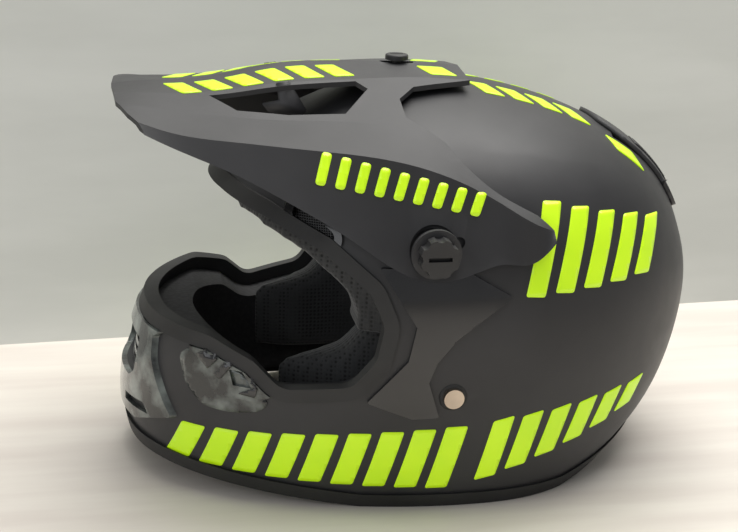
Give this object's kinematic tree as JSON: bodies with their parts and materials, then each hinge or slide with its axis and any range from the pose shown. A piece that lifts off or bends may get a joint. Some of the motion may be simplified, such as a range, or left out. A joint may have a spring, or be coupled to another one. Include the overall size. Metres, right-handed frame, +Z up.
{
  "type": "motorcycle helmet",
  "caption": "Off-road motorcycle helmet with a tilting sun visor, open eye port, vented chin bar, padded lining and a ratchet chin strap.",
  "frame": {"origin": "floor level under the middle of the bounding box, on the plane that the rim trim rests on", "axes": "+Z up, -X forward as the wearer faces, -Y to the wearer's left"},
  "size_m": [0.3598, 0.2628, 0.2476],
  "materials": {
    "shell_matte": "matte black moulded ABS",
    "visor_matte": "matte black moulded polypropylene",
    "gloss_black": "gloss black plastic",
    "trim_rubber": "black rubber edge trim",
    "eps_foam": "black expanded foam",
    "lining_fabric": "black mesh fabric over foam",
    "webbing": "black woven webbing",
    "pull_red": "red webbing",
    "vent_mesh": "dark woven wire mesh",
    "rivet_alloy": "satin alloy",
    "steel": "satin steel",
    "brass": "turned brass",
    "nylon_black": "black nylon"
  },
  "bodies": {
    "helmet": {"base_trim": "trim_rubber", "brow_pad": "lining_fabric", "brow_vent_left": "gloss_black", "brow_vent_mesh_left": "vent_mesh", "brow_vent_mesh_right": "vent_mesh", "brow_vent_right": "gloss_black", "cheek_pad_left": "lining_fabric", "cheek_pad_right": "lining_fabric", "chin_foam": "eps_foam", "chin_vent_left": "gloss_black", "chin_vent_right": "gloss_black", "crown_foam": "eps_foam", "crown_pad": "lining_fabric", "exhaust_cover": "gloss_black", "exhaust_mesh_left": "vent_mesh", "exhaust_mesh_right": "vent_mesh", "eye_port_trim": "trim_rubber", "mouth_vent_cover": "gloss_black", "mouth_vent_grille": "gloss_black", "neck_roll": "lining_fabric", "outer_shell": "shell_matte", "side_panel_left": "gloss_black", "side_panel_right": "gloss_black", "strap_rivet_left": "rivet_alloy", "strap_rivet_right": "rivet_alloy", "visor_bush_left": "nylon_black", "visor_bush_right": "nylon_black", "visor_insert_left": "brass", "visor_insert_right": "brass", "visor_top_nut": "brass", "visor_washer_left": "trim_rubber", "visor_washer_right": "trim_rubber"},
    "visor": {"visor": "visor_matte"},
    "strap": {"buckle_body": "steel", "chin_strap_left": "webbing", "chin_strap_right": "webbing", "lever_pin": "steel", "lever_spring": "steel", "ratchet_tongue": "nylon_black", "strap_plate_left": "steel", "strap_plate_right": "steel", "strap_sleeve_left": "lining_fabric", "strap_sleeve_right": "lining_fabric"},
    "lever": {"release_lever": "steel", "pull_tab": "pull_red"},
    "visor_screw_left": {"visor_screw_left": "nylon_black"},
    "visor_screw_right": {"visor_screw_right": "nylon_black"},
    "visor_top_screw": {"visor_top_screw": "nylon_black"}
  },
  "joints": [
    {"name": "visor_tilt", "type": "hinge", "parent": "helmet", "child": "visor", "pos_m": [-0.011, 0, 0.16], "axis": [0, 1, 0], "range_deg": [-5, 5]},
    {"name": "visor_screw_left_turn", "type": "hinge", "parent": "helmet", "child": "visor_screw_left", "pos_m": [-0.011, 0, 0.16], "axis": [0, 1, 0], "continuous": true},
    {"name": "visor_screw_right_turn", "type": "hinge", "parent": "helmet", "child": "visor_screw_right", "pos_m": [-0.011, 0, 0.16], "axis": [0, 1, 0], "continuous": true},
    {"name": "visor_top_screw_turn", "type": "hinge", "parent": "helmet", "child": "visor_top_screw", "pos_m": [-0.011, 0, 0.234], "axis": [0, 0, 1], "continuous": true},
    {"name": "strap_swing", "type": "hinge", "parent": "helmet", "child": "strap", "pos_m": [0.0027, 0, 0.075], "axis": [0, 1, 0], "range_deg": [-12, 12]},
    {"name": "release_lever_lift", "type": "hinge", "parent": "strap", "child": "lever", "pos_m": [0.0027, -0.014, 0.0138], "axis": [1, 0, 0], "range_deg": [0, 22], "stiffness_Nm_per_rad": 0.05, "springref_deg": -17.19}
  ]
}
